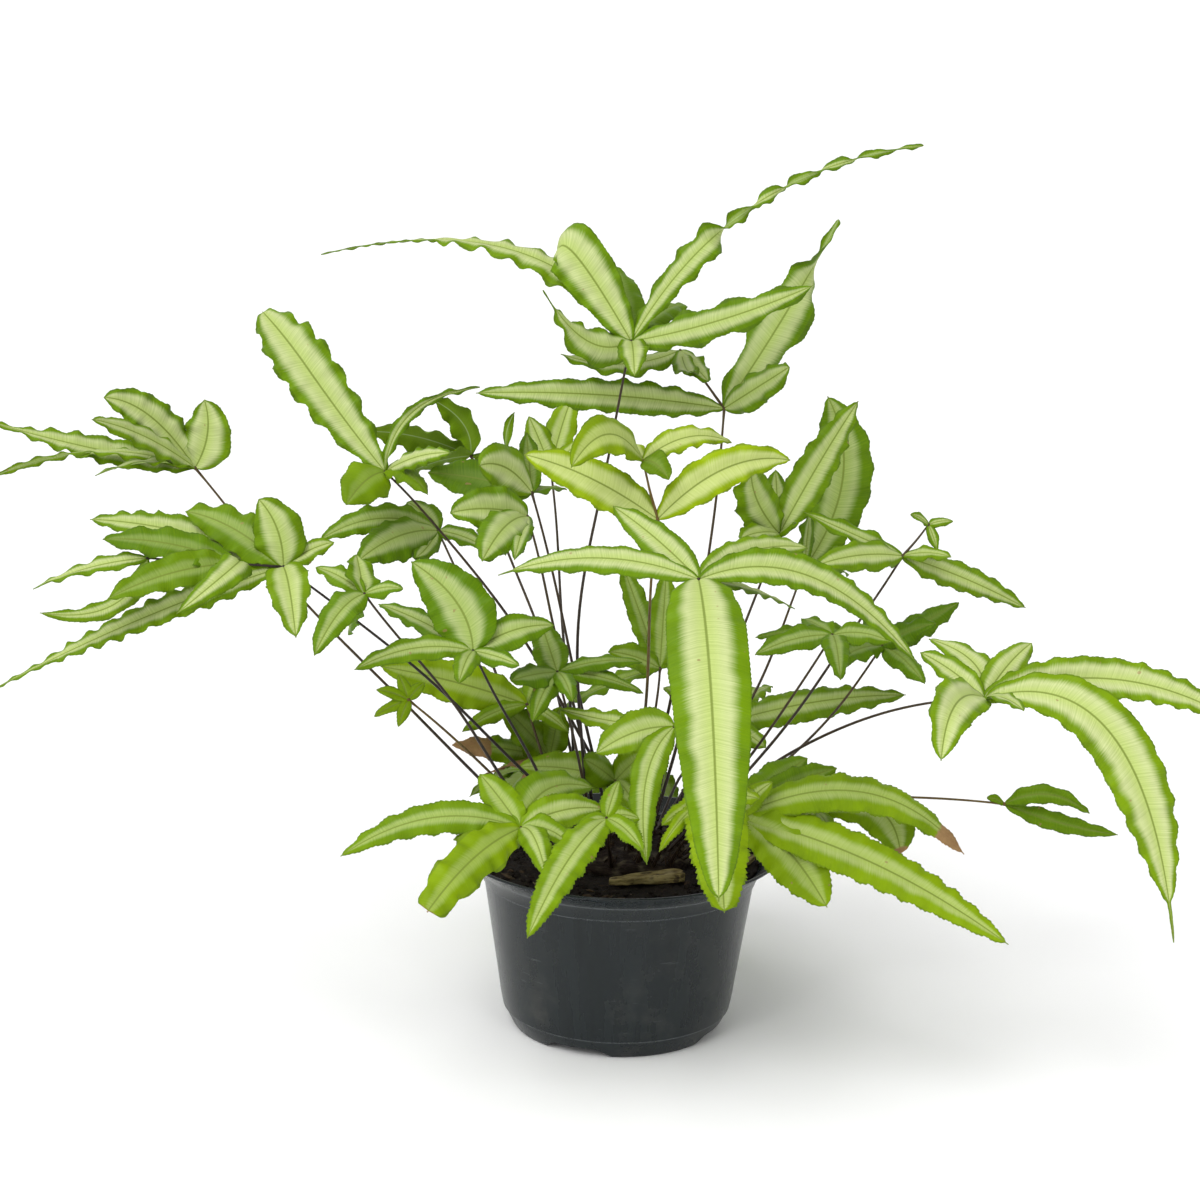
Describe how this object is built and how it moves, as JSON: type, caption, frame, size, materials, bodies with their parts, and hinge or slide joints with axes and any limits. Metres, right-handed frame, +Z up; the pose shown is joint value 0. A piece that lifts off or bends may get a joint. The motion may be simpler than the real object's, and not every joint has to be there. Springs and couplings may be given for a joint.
{
  "type": "potted fern",
  "caption": "Bushy brake fern with long pale-striped leaflets on thin dark stalks, growing from soil in a plain flared nursery pot.",
  "frame": {"origin": "middle of the pot's flat underside", "axes": "+Z up along the pot's axis, -Y towards the front, +X to the right as seen from the front"},
  "size_m": [0.6256, 0.3926, 0.4471],
  "materials": {
    "pot_plastic": "satin, dark slate",
    "potting_soil": "rough, nearly black peat and bark",
    "bark": "rough bark",
    "fern_leaf": "satin leaf, green with a pale middle band"
  },
  "bodies": {
    "root": {"pot": "pot_plastic", "potting_soil": "potting_soil", "bark_chip_front": "bark", "bark_chip_right": "bark", "bark_chip_back": "bark", "fern": "fern_leaf"}
  },
  "joints": []
}
